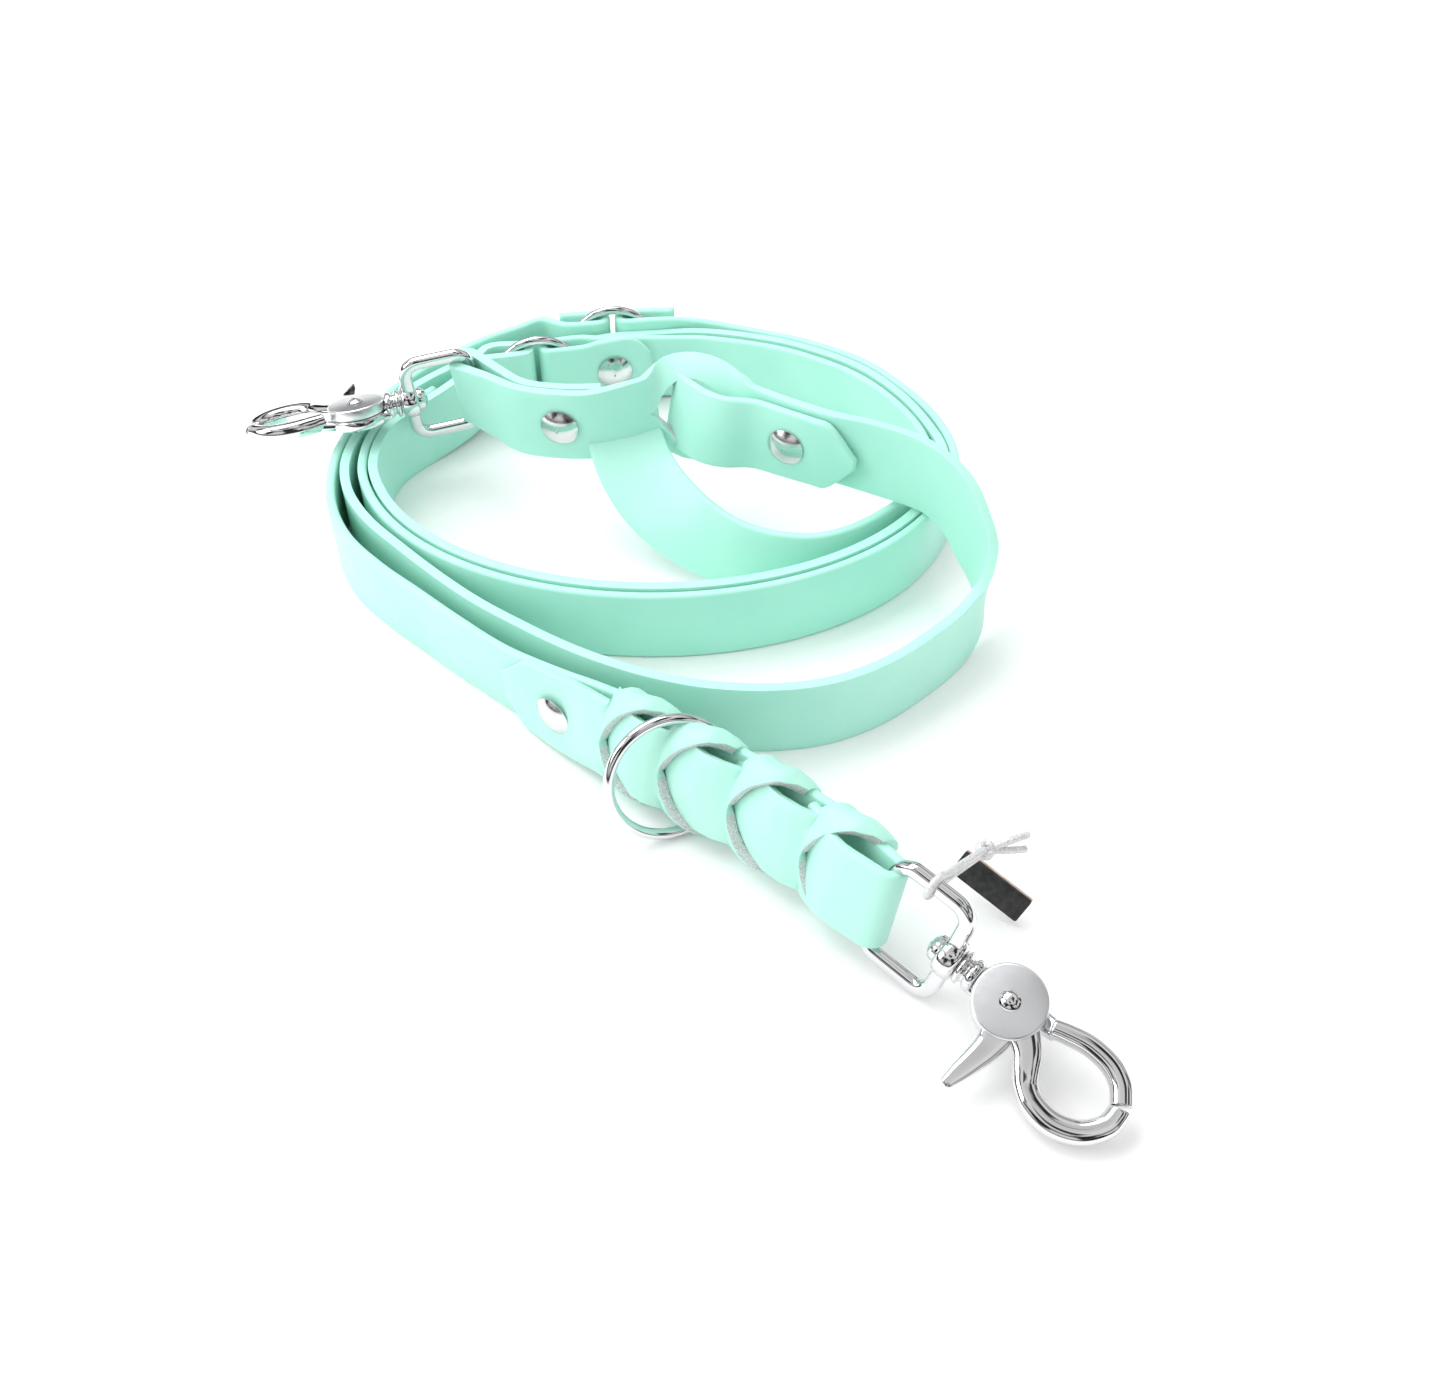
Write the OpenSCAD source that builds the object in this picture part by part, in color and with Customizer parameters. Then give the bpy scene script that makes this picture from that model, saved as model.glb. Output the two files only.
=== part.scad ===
// Training leash, coiled on the floor: coated strap, three rings, two swivel trigger snaps and a tag.
// Millimetres. Origin on the floor at the middle of the coil, +X right, +Y to the back, +Z up.

/* [Strap] */
// Width of the strap
strap_w = 20; // [20:0.1:20.4]
// Thickness of the strap
strap_t = 2.4; // [2.2:0.05:2.45]
// Height of the strap's middle line where it stands on its edge
edge_z = 10; // [10:0.1:10.2]

/* [Rings and rivets] */
// Thickness of the ring wire
ring_wire = 2.5; // [2.3:0.1:2.6]
// Inside diameter of the sliding front ring
front_ring_in = 25; // [24.8:0.1:26]
// Inside diameter of the two joining rings
join_ring_in = 21; // [21:0.1:21.4]
// Diameter of a rivet cap
rivet_d = 10; // [9:0.5:10.5]
// Height of a rivet cap
rivet_h = 1.9; // [1.5:0.1:2.2]

/* [Snap] */
// Width of the strap loop, between the middles of its arms
bail_w = 25; // [24.6:0.1:26]
// Thickness of the strap loop's wire
bail_wire = 2.8; // [2.6:0.1:2.8]
// Diameter of the swivel pin
pin_d = 3.4; // [3:0.1:3.6]
// Diameter of the trigger's round plate
plate_d = 14.4; // [13.5:0.1:15]
// Diameter of the pivot pin
pivot_d = 3; // [2.6:0.1:3.2]
// Radial running clearance of every turning fit
fit_gap = 0.05; // [0.03:0.01:0.08]

/* [Tag] */
// Length of the blank card
card_l = 17; // [15:0.5:18]
// Width of the blank card
card_w = 6; // [5:0.5:6.5]
// Thickness of the elastic cord
cord_d = 1.4; // [1.2:0.1:1.6]

/* [Hidden] */
$fn = 48;

mint = [0.66, 0.93, 0.85];
steel = [0.8, 0.81, 0.83];
layer = strap_t / 2 + 0.12;       // from a rivet's middle plane to the middle of a strap layer
wrap_r = 1.45 + strap_t / 2;      // middle line of a fold round a ring or a bar
bar_wrap_r = bail_wire / 2 + 0.8 + strap_t / 2;
back_wrap_r = bar_wrap_r + 0.2;   // looser fold round the back snap's tilted bar

// Places of the hardware
front_bar = [51.5, -139, 16.3];
front_turn = [-41, 9, 76, 21];    // heading, dip, loop roll, snap roll
back_bar = [-47.2, 23.8, 28.6];
back_turn = [-163.3, 3.3, -100, 17];
inner_ring_at = [-33.5, 53, 13];
inner_ring_yaw = 12;
outer_ring_at = [-12.5, 69.4, 13];
outer_ring_yaw = 6;
sliding_ring_at = [8.5, -104.2, 14.4];
sliding_ring_normal = [0.36, -0.87, 0.34];
coil_centre = [3, 10];

// ---- Paths -------------------------------------------------------------------------------------
// Curve through points, a few steps between each pair
function blend(a, b, c, d, t) = 0.5 * ((2 * b) + (c - a) * t + (2 * a - 5 * b + 4 * c - d) * t * t
    + (3 * b - a - 3 * c + d) * t * t * t);
function curve(p, steps) = let (last = len(p) - 1) [
    for (i = [0 : last - 1], k = [0 : steps - 1])
        blend(p[max(i - 1, 0)], p[i], p[i + 1], p[min(i + 2, last)], k / steps),
    p[last]];
// A point beside an [x, y] place, at a distance along and across a heading
function beside(at, heading, along, across) = [
    at[0] + along * cos(heading) - across * sin(heading),
    at[1] + along * sin(heading) + across * cos(heading)];
// Path point: place, height of the middle line, lean of the top edge to the left of the path
function spot(xy, z, lean = 0) = [xy[0], xy[1], z, lean];
// Half turn of the strap, from one side of a heading to the other, leaning with a tilted bar
function half_turn(at, heading, r, z, side, lean = 0) = [
    for (a = [0 : 30 : 180]) spot(beside(at, heading, -r * sin(a), side * r * cos(a)), z, lean * cos(a))];
// End of a strap round a ring: tail, turn round the wire, and start of the main run.
// along is the side of the ring it leaves to, face the side the tail lies on.
function ring_fold(at, yaw, along, face, tail, tail_face) = let (
    heading = along > 0 ? yaw : yaw + 180, s = along * face) [
    spot(beside(at, heading, tail, -s * abs(tail_face)), at[2]),
    spot(beside(at, heading, 13.8, -s * wrap_r), at[2]),
    each half_turn(beside(at, heading, 4.5, 0), heading, wrap_r, at[2], -s),
    spot(beside(at, heading, 13.8, s * wrap_r), at[2])];
// Stretch of the coil's oval
function oval(a, b, from, to, step, z) = [
    for (q = [from : step : to]) spot([coil_centre[0] + a * cos(q), coil_centre[1] + b * sin(q)], z)];

// ---- Strap -------------------------------------------------------------------------------------
// Flat strap on its edge along a path of [x, y, z, lean]
module ribbon(path) {
    n = len(path);
    sections = [for (i = [0 : n - 1]) let (
        ahead = path[min(i + 1, n - 1)] - path[max(i - 1, 0)],
        run = [ahead[0], ahead[1], ahead[2]] / norm([ahead[0], ahead[1], ahead[2]]),
        left = [-run[1], run[0], 0] / norm([run[0], run[1]]),
        rise = [0, 0, 1] * cos(path[i][3]) + left * sin(path[i][3]),
        up = rise - run * (rise * run),
        high = up / norm(up) * strap_w / 2,
        thick = cross(run, high) / norm(high) * strap_t / 2,
        mid = [path[i][0], path[i][1], path[i][2]])
        [mid + high + thick, mid + high - thick, mid - high - thick, mid - high + thick]];
    corners = [for (s = sections) each s];
    sides = [for (i = [0 : n - 2], k = [0 : 3]) let (a = 4 * i + k, b = 4 * i + (k + 1) % 4)
        each [[a, b, b + 4], [a, b + 4, a + 4]]];
    end = 4 * (n - 1);
    polyhedron(corners, concat(sides, [[3, 2, 1, 0], [end, end + 1, end + 2, end + 3]]));
}

braid_heading = 134;              // from the front snap's bar towards the coil
braid_lean = 14;
fold_lean = 17;                   // tilt of the fold around the front snap's bar
fold_shift = 1;                   // the fold sits this far back from the bar
function braid_line(across) = [
    spot(beside([39, -126], braid_heading, 0, across), 15.2, sign(across) * braid_lean / 2),
    spot(beside([23.4, -113.1], 141, 0, across), 15, 0),
    spot(beside([8.5, -102.5], 143, 0, across), 14.8, 0),
    spot(beside([-4.5, -91], 143, 0, across), 12.8, 0),
    spot(beside([-17, -80], 141, 0, across), 10.6, 0)];
function reversed(p) = [for (i = [len(p) - 1 : -1 : 0]) p[i]];

module front_strap() {
    tail = [spot(beside([-29, -71.4], 140, 0, layer), 10.2)];
    going = concat(tail, reversed(braid_line(layer)));
    around = beside(front_bar, braid_heading, -fold_shift, 0);
    fold = half_turn(around, braid_heading, bar_wrap_r, 15.8, 1, fold_lean);
    coming = concat(braid_line(-layer), [
        spot([-30, -69.2], 10), spot([-43, -58.5], 10), spot([-53.5, -49], 10), spot([-64, -39.5], 10),
        spot([-74, -28], 10), spot([-80.5, -14], 10), spot([-82.9, 3], 10), spot([-80.9, 18], 10),
        spot([-75, 32], 10), spot([-66, 45.4], 10.3), spot([-56, 54.6], 11), spot([-48, 60.2], 12),
        spot([-40, 64.4], 12.6), spot([-33, 68.2], 13)]);
    loop = reversed(ring_fold(outer_ring_at, outer_ring_yaw, -1, -1, 15.5, -wrap_r));
    color(mint) ribbon(curve(concat(going, fold, coming, loop), 3));
}
module coil_strap() {
    loop = ring_fold(outer_ring_at, outer_ring_yaw, 1, -1, 18.5, wrap_r - 0.5);
    back = [spot([8.5, 69.6], 12), spot([16, 69.9], 11), spot([31, 66.5], 10), spot([44, 61.4], 10),
        spot([59.9, 51.2], 10), spot([70.6, 38], 10), spot([78.7, 22.3], 10)];
    left = [spot([-74.5, 17], 10), spot([-68.4, 28], 10), spot([-60.5, 36.6], 10.5)];
    color(mint) ribbon(curve(concat(loop, back, reversed(oval(79, 60.8, -172, -4, 12, 10)), left), 3));
}
module loop_strap() {
    fold = ring_fold(inner_ring_at, inner_ring_yaw, 1, 1, 32, layer);
    loop = concat([fold[0], spot(beside(inner_ring_at, inner_ring_yaw, 18.4, -layer), 13)],
        [for (i = [1 : len(fold) - 1]) fold[i]],
        [spot(beside(inner_ring_at, inner_ring_yaw, 18.4, layer), 12.8)]);
    back = [spot([-8, 59.8], 12), spot([4, 62.1], 10.5), spot([14, 62.9], 10), spot([31, 59.2], 10),
        spot([43, 54.2], 10), spot([58, 43.6], 10), spot([68.6, 29.2], 10), spot([74.4, 14], 10),
        spot([74, -1], 10), spot([66.5, -13], 10), spot([53, -24.5], 10), spot([41, -28.4], 10),
        spot([26, -26.5], 11), spot([14, -18.8], 15.5), spot([7, -10.5], 21), spot([2.6, -2.6], 25)];
    turn = [spot([0.8, 3.2], 27.4), spot([3.4, 7.4], 28.6), spot([8, 8.6], 29)];
    tab = [spot([13.5, 7.6], 29), spot([19, 5.2], 29), spot([33, -2.2], 29), spot([44, -8], 29),
        spot([50, -11], 29)];
    color(mint) ribbon(curve(concat(loop, back, turn, tab), 3));
}
module handle_strap() {
    tail = [spot([-14, 5.2 + 2 * layer], 29.5), spot([-22, 5.8 + 2 * layer], 29.2),
        spot([-31.8, 11.2], 28.8), spot([-39.4, 19.4], 28.6, 5)];
    fold = half_turn(back_bar, -27, back_wrap_r, 28.6, 1, 10);
    grip = [spot([-42, 15.6], 28.6, -5), spot([-33, 8.6], 28.8), spot([-22, 5.6], 29.2),
        spot([-14, 5.2], 29.5), spot([-3, 8], 30), spot([8, 11.6], 30.6), spot([20, 8], 31), spot([34, 0.6], 31),
        spot([47, -6.2], 31), spot([57, -11], 31.2), spot([66, -16], 31.3), spot([72, -20.6], 31),
        spot([77, -26], 29), spot([80.8, -32.2], 24.5), spot([83.5, -39.5], 18.5), spot([82.6, -47], 13),
        spot([77.5, -55], 10.3)];
    loose = [for (p = [[69, -64], [58, -73.2], [46, -79.4], [33, -82], [17, -81.3], [3, -77.6], [-9, -72.4],
        [-18, -67.4], [-27, -61.4], [-38, -53.4], [-48, -44.6], [-60, -32.6], [-70, -21.6], [-77, -9.6],
        [-79.7, 3], [-77.9, 17.5], [-72, 30], [-63.4, 41.4], [-54.5, 50], [-47.8, 55.6], [-40.6, 58.8],
        [-34, 60], [-25.5, 60.6], [-20, 61.4], [-12, 63.8], [0, 65.3], [14, 66.2], [31, 62.8], [43.6, 57.8],
        [59, 47.4], [69.6, 33.6], [76.6, 17.6]]) spot(p, 10)];
    left = [spot([-71.3, 17], 10), spot([-65.2, 27], 10), spot([-57.5, 35.2], 11), spot([-52, 42], 12)];
    loop = reversed(ring_fold(inner_ring_at, inner_ring_yaw, -1, 1, 15.5, wrap_r));
    color(mint) ribbon(curve(concat(tail, fold, grip, loose,
        reversed(oval(76.1, 57.6, -172, -4, 12, 10)), left, loop), 3));
}

// ---- Rivets ------------------------------------------------------------------------------------
// Rivets: middle of the two layers held, and heading of the side that faces out of the leash
rivets = [[[-17, -80, 10.6], -129], [[-22, 5.7 + layer, 29.2], -99], [[37.4, -2.9, 30], -117.5],
    [beside(inner_ring_at, inner_ring_yaw, 22, 0), -78]];
module on_rivet(r) {
    translate([r[0][0], r[0][1], len(r[0]) > 2 ? r[0][2] : inner_ring_at[2]]) rotate([0, 0, r[1]])
        rotate([0, 90, 0]) children();
}
module rivet_posts() {
    color(steel) for (r = rivets) on_rivet(r) cylinder(d = 3.2, h = 4 * layer + 1.2, center = true);
}
// The outer caps are domed, and the ones behind are lower
module rivet_caps() {
    color(steel) for (r = rivets, side = [0, 1]) on_rivet(r) rotate([0, side * 180, 0])
        translate([0, 0, 2 * layer + 0.3]) rotate_extrude() intersection() {
            translate([0, (side == 0 ? rivet_h : 1) - 8]) circle(8);
            square([rivet_d / 2 - side, rivet_h]);
        }
}

// ---- Rings -------------------------------------------------------------------------------------
module ring(inside) {
    color(steel) rotate_extrude($fn = 96) translate([inside / 2 + ring_wire / 2, 0]) circle(d = ring_wire);
}
module sliding_ring() {
    v = sliding_ring_normal;
    translate(sliding_ring_at) rotate([0, acos(v[2] / norm(v)), atan2(v[1], v[0])]) ring(front_ring_in);
}
module inner_ring() {
    translate(inner_ring_at) rotate([90, 0, inner_ring_yaw]) ring(join_ring_in);
}
module outer_ring() {
    translate(outer_ring_at) rotate([90, 0, outer_ring_yaw]) ring(join_ring_in);
}

// ---- Snap, along +X from the strap bar to the nose, trigger tab on -Y, trigger plate on top ------
corner_r = 4;
boss_r = 4.2;
boss_from = 15.2;
boss_to = 19.8;
pivot_x = 31.6;
plate_t = 3;
split_z = -0.3;                   // between the body's plate and the trigger's plate

seam_y = -2.4;                    // where the hook's tip meets the jaw's nose
seam = 0.2;

module place(bar, turn, roll) {
    translate(bar) rotate([0, 0, turn[0]]) rotate([0, turn[1], 0]) rotate([roll, 0, 0]) children();
}
module bail() {
    cross_x = 17.2;
    rod = bail_wire / 2;
    straight = cross_x - 2 * corner_r;
    module corner(x, y, from) {
        translate([x, y, 0]) rotate([0, 0, from]) rotate_extrude(angle = 90)
            translate([corner_r, 0]) circle(rod);
    }
    color(steel) difference() {
        union() {
            translate([0, bail_w / 2 - corner_r, 0]) rotate([90, 0, 0])
                cylinder(r = rod, h = bail_w - 2 * corner_r);
            for (s = [-1, 1]) {
                translate([corner_r, s * bail_w / 2, 0]) rotate([0, 90, 0]) cylinder(r = rod, h = straight);
                translate([cross_x, s * (bail_w / 2 - corner_r), 0]) rotate([s * 90, 0, 0])
                    cylinder(r = rod, h = bail_w / 2 - corner_r - 2.6);
            }
            corner(corner_r, bail_w / 2 - corner_r, 90);
            corner(corner_r, corner_r - bail_w / 2, 180);
            corner(cross_x - corner_r, bail_w / 2 - corner_r, 0);
            corner(cross_x - corner_r, corner_r - bail_w / 2, 270);
            translate([boss_from, 0, 0]) rotate([0, 90, 0]) rotate_extrude() polygon([
                [0, 0], [boss_r - 0.9, 0], [boss_r, 0.9], [boss_r, boss_to - boss_from - 0.9],
                [boss_r - 0.9, boss_to - boss_from], [0, boss_to - boss_from]]);
        }
        translate([boss_from - 1, 0, 0]) rotate([0, 90, 0]) cylinder(d = pin_d + 2 * fit_gap, h = 7);
    }
}
module swivel_pin() {
    head_r = 2.9;
    color(steel) translate([boss_from - 0.1, 0, 0]) rotate([0, 90, 0]) rotate_extrude() polygon(concat(
        [for (a = [0 : 15 : 90]) [head_r * sin(a), -0.5 - 2 * cos(a)]],
        [[head_r, 0], [pin_d / 2, 0], [pin_d / 2, 8.8], [0, 8.8]]));
}
// Outline with its width along a curve of [x, y, half width]
function edge(p, side) = [for (i = [0 : len(p) - 1]) let (
    d = p[min(i + 1, len(p) - 1)] - p[max(i - 1, 0)], n = [-d[1], d[0]] / norm([d[0], d[1]]))
    [p[i][0], p[i][1]] + side * p[i][2] * n];
module arm(points, from, to) {
    p = curve(points, 5);
    translate([0, 0, from]) linear_extrude(to - from) polygon(concat(edge(p, 1), reversed(edge(p, -1))));
}
module snap_body() {
    neck = boss_to + 0.1;
    color(steel) difference() {
        union() {
            translate([neck, 0, 0]) rotate([0, 90, 0]) rotate_extrude() polygon([[0, 0], [3, 0], [3.6, 0.5],
                [3.6, 1.1], [2.7, 1.6], [2.7, 2], [3.4, 2.5], [3.4, 4.2], [0, 4.2]]);
            translate([neck + 3.4, -3.2, split_z - plate_t]) cube([6, 6.4, plate_t]);
            translate([pivot_x, 0, split_z - plate_t]) cylinder(d = plate_d, h = plate_t, $fn = 72);
            arm([[34, 1.5, 2.6], [38.2, 1.6, 2.2], [41.6, 1.6, 1.9]], split_z - plate_t, split_z);
            arm([[40.2, 1.5, 2], [43.5, 2.4, 2], [48, 3.3, 2.1], [53, 2.8, 2.2], [56.4, 1, 2.2],
                [58.6, -1.9, 2.2], [59.2, -3.5, 2.2]], -2.6, 2.1);
        }
        translate([pivot_x, 0, -5]) cylinder(d = pivot_d, h = 10);
        translate([pivot_x, 0, split_z - 1.6]) cylinder(r = 3.8, h = 4);
        translate([neck - 1, 0, 0]) rotate([0, 90, 0]) cylinder(d = pin_d, h = 5.1);
        translate([50, seam_y - 10 + seam / 2, -5]) cube([15, 10, 10]);
    }
}
module trigger() {
    color(steel) difference() {
        union() {
            translate([pivot_x, 0, split_z + 0.1]) cylinder(d = plate_d, h = plate_t, $fn = 72);
            arm([[33, -3, 3.6], [34, -8, 2.4], [33, -13.5, 1.6], [31.8, -19.3, 0.9]],
                split_z + 0.1, split_z + 0.1 + plate_t - 0.6);
            arm([[34, -1.5, 4], [37.5, -2.9, 2.8], [40.3, -5, 2.2], [42, -8.3, 2.1], [43.8, -10.4, 2.1]],
                split_z + 0.1, split_z + 0.1 + plate_t - 0.4);
            arm([[41.2, -7, 2.1], [42.4, -9, 2.1], [46, -11.8, 2.15], [51, -12.6, 2.2], [55.8, -10.7, 2.2],
                [58.9, -6.6, 2.2], [59.2, -3.5, 2.2], [58.6, -1.9, 2.2], [57.8, -0.8, 2.2]], -2.6, 2.1);
        }
        translate([50, seam_y - seam / 2, -5]) cube([15, 10, 10]);
        translate([pivot_x, 0, -5]) cylinder(d = pivot_d + 2 * fit_gap, h = 10);
    }
}
module pivot_pin() {
    top = split_z + 0.1 + plate_t;
    color(steel) translate([pivot_x, 0, split_z - plate_t]) {
        translate([0, 0, 0.1]) cylinder(d = pivot_d, h = top - split_z + plate_t);
        translate([0, 0, top - split_z + plate_t + 0.1]) rotate_extrude() intersection() {
            translate([0, -1.9]) circle(2.9);
            square([2.1, 2]);
        }
    }
}
module spring() {
    wire = 0.5;
    color(steel) translate([pivot_x, 0, split_z - 1.45]) {
        for (turn_z = [0.25, 0.75]) translate([0, 0, turn_z]) rotate_extrude()
            translate([2.6, 0]) circle(d = wire + 0.02, $fn = 16);
        translate([2.35, -0.2, 0.25]) cube([1.3, 0.4, 0.4]);
    }
}
module front_bail() place(front_bar, front_turn, front_turn[2]) bail();
module front_swivel_pin() place(front_bar, front_turn, front_turn[3]) swivel_pin();
module front_snap_body() place(front_bar, front_turn, front_turn[3]) snap_body();
module front_trigger() place(front_bar, front_turn, front_turn[3]) trigger();
module front_pivot_pin() place(front_bar, front_turn, front_turn[3]) pivot_pin();
module front_spring() place(front_bar, front_turn, front_turn[3]) spring();
module back_bail() place(back_bar, back_turn, back_turn[2]) bail();
module back_swivel_pin() place(back_bar, back_turn, back_turn[3]) swivel_pin();
module back_snap_body() place(back_bar, back_turn, back_turn[3]) snap_body();
module back_trigger() place(back_bar, back_turn, back_turn[3]) trigger();
module back_pivot_pin() place(back_bar, back_turn, back_turn[3]) pivot_pin();
module back_spring() place(back_bar, back_turn, back_turn[3]) spring();

// ---- Tag ---------------------------------------------------------------------------------------
cord_x = 8;                       // along the loop's upper arm
cord_r = bail_wire / 2 + 0.15 + cord_d / 2;
arm_at = [60.9, -143.1, 27];      // the upper arm, where the cord goes round it
knot_at = [72.7, -130.4, 22];
card_at = [76.2, -127.4, 6.2];
card_turn = [18, -35, 24];        // dip, heading, lean back
module strand(a, b) {
    d = b - a;
    translate(a) rotate([0, acos(d[2] / norm(d)), atan2(d[1], d[0])])
        cylinder(d = cord_d, h = norm(d), $fn = 24);
}
module tag_cord() {
    out = (knot_at - arm_at) / norm(knot_at - arm_at);
    color("white") {
        place(front_bar, front_turn, front_turn[2]) translate([cord_x, bail_w / 2, 0])
            rotate([0, 90, 0]) rotate_extrude() translate([cord_r, 0]) circle(d = cord_d, $fn = 24);
        strand(arm_at + out * cord_r, knot_at);
        strand(knot_at, [71.5, -125, 10.5]);
        translate(knot_at) sphere(d = 3, $fn = 24);
    }
}
module tag_card() {
    color([0.05, 0.05, 0.05]) translate(card_at) rotate([0, 0, card_turn[1]])
        rotate([0, card_turn[0], 0]) rotate([-card_turn[2], 0, 0])
        cube([card_l, 0.8, card_w], center = true);
}

front_strap();
coil_strap();
handle_strap();
loop_strap();
rivet_posts();
rivet_caps();
sliding_ring();
inner_ring();
outer_ring();
front_bail();
front_swivel_pin();
front_snap_body();
front_trigger();
front_pivot_pin();
front_spring();
back_bail();
back_swivel_pin();
back_snap_body();
back_trigger();
back_pivot_pin();
back_spring();
tag_card();
tag_cord();
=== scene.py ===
import math

import bpy
from mathutils import Matrix, Vector


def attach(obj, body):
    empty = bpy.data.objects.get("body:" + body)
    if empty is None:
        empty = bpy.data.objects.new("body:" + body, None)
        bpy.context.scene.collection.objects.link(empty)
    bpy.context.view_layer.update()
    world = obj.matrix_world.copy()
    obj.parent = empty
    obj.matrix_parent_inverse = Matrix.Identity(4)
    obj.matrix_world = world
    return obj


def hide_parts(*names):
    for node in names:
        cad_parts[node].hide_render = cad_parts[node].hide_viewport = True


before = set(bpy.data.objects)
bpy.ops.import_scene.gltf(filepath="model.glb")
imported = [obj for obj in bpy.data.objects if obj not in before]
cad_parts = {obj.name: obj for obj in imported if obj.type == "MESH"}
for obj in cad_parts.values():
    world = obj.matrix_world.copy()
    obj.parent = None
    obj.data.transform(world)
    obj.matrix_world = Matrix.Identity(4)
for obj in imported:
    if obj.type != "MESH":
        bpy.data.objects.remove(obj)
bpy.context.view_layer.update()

MM = 0.001
STRAP_W = 20.0
STRAP_T = 2.4
LAYER = STRAP_T / 2 + 0.12            # from a rivet's middle plane to the middle of a layer
WRAP = 1.45 + STRAP_T / 2             # middle line of a fold round a ring
FLOOR_Z = STRAP_W / 2                 # middle of a strap that stands on the floor
FRONT_BAR = (51.5, -139.0, 16.3)      # middle of the bar that the strap folds round
FRONT_TURN = (-41.0, 9.0, 21.0)       # heading, dip and roll of the snap
FRONT_LOOP_ROLL = 76.0
BACK_BAR = (-47.2, 23.8, 28.6)
BACK_TURN = (-163.3, 3.3, 17.0)
BACK_LOOP_ROLL = -100.0
INNER_RING = (-33.5, 53.0, 13.0, 12.0)  # place, and the heading of the strap through it
OUTER_RING = (-12.5, 69.4, 13.0, 6.0)
COIL = (3.0, 10.0)                    # middle of the coil's oval rounds


# ---- Materials ---------------------------------------------------------------------------------
def shader(name):
    """A new material, its nodes, its links and its Principled shader."""
    m = bpy.data.materials.new(name)
    m.use_nodes = True
    nodes = m.node_tree.nodes
    return m, nodes, m.node_tree.links, nodes["Principled BSDF"]


def noise(nodes, links, scale, detail=4.0, stretch=(1, 1, 1)):
    """Noise in object space, scaled per metre."""
    where = nodes.new("ShaderNodeTexCoord")
    mapping = nodes.new("ShaderNodeMapping")
    mapping.inputs["Scale"].default_value = stretch
    tex = nodes.new("ShaderNodeTexNoise")
    tex.inputs["Scale"].default_value = scale
    tex.inputs["Detail"].default_value = detail
    links.new(where.outputs["Object"], mapping.inputs["Vector"])
    links.new(mapping.outputs["Vector"], tex.inputs["Vector"])
    return tex


def ramp(nodes, links, source, low, high, start=0.35, end=0.65):
    """Turns a grey value into a colour between two colours."""
    r = nodes.new("ShaderNodeValToRGB")
    r.color_ramp.elements[0].position = start
    r.color_ramp.elements[1].position = end
    r.color_ramp.elements[0].color = (*low, 1)
    r.color_ramp.elements[1].color = (*high, 1)
    links.new(source, r.inputs["Fac"])
    return r


def bump(nodes, links, source, shader_node, strength, distance):
    """Adds a height to the surface."""
    b = nodes.new("ShaderNodeBump")
    b.inputs["Strength"].default_value = strength
    b.inputs["Distance"].default_value = distance
    links.new(source, b.inputs["Height"])
    links.new(b.outputs["Normal"], shader_node.inputs["Normal"])


MINT_LOW = (0.42, 0.79, 0.675)
MINT_HIGH = (0.45, 0.82, 0.70)


def mint_surface(nodes, links, p):
    """Soft satin coating with a faint grain."""
    broad = noise(nodes, links, 60, 3)
    colour = ramp(nodes, links, broad.outputs["Fac"], MINT_LOW, MINT_HIGH)
    links.new(colour.outputs["Color"], p.inputs["Base Color"])
    rough = ramp(nodes, links, noise(nodes, links, 900, 6).outputs["Fac"], (0.36,) * 3, (0.5,) * 3)
    links.new(rough.outputs["Color"], p.inputs["Roughness"])
    p.inputs["IOR"].default_value = 1.45
    p.inputs["Subsurface Weight"].default_value = 0.25
    p.inputs["Subsurface Radius"].default_value = (0.6, 1.0, 0.8)
    p.inputs["Subsurface Scale"].default_value = 0.0015
    bump(nodes, links, noise(nodes, links, 2600, 4).outputs["Fac"], p, 0.05, 0.0002)
    return colour


def mint_material():
    """The strap's coated faces."""
    m, nodes, links, p = shader("mint_strap")
    mint_surface(nodes, links, p)
    return m


def edge_material():
    """The strap's edge: coated, and bare grey weave where it was cut."""
    m, nodes, links, p = shader("strap_edge")
    colour = mint_surface(nodes, links, p)
    cut = nodes.new("ShaderNodeAttribute")
    cut.attribute_name = "cut"
    fibres = noise(nodes, links, 3200, 3, (1, 1, 2))
    weave = ramp(nodes, links, fibres.outputs["Fac"], (0.42, 0.43, 0.43), (0.78, 0.80, 0.80), 0.36, 0.64)
    mix = nodes.new("ShaderNodeMix")
    mix.data_type = "RGBA"
    links.new(cut.outputs["Fac"], mix.inputs[0])
    links.new(colour.outputs["Color"], mix.inputs[6])
    links.new(weave.outputs["Color"], mix.inputs[7])
    links.new(mix.outputs[2], p.inputs["Base Color"])
    return m


def metal_material(name, colour, low, high, grain, grain_depth, stretch=(1, 1, 1)):
    """Polished or satin metal with faint smears and fine wear."""
    m, nodes, links, p = shader(name)
    p.inputs["Metallic"].default_value = 1.0
    tint = ramp(nodes, links, noise(nodes, links, 90, 5).outputs["Fac"],
                tuple(c * 0.94 for c in colour), colour)
    links.new(tint.outputs["Color"], p.inputs["Base Color"])
    rough = ramp(nodes, links, noise(nodes, links, grain, 6, stretch).outputs["Fac"],
                 (low,) * 3, (high,) * 3, 0.3, 0.7)
    links.new(rough.outputs["Color"], p.inputs["Roughness"])
    bump(nodes, links, noise(nodes, links, grain, 4, stretch).outputs["Fac"], p, grain_depth, 0.0001)
    return m


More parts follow.
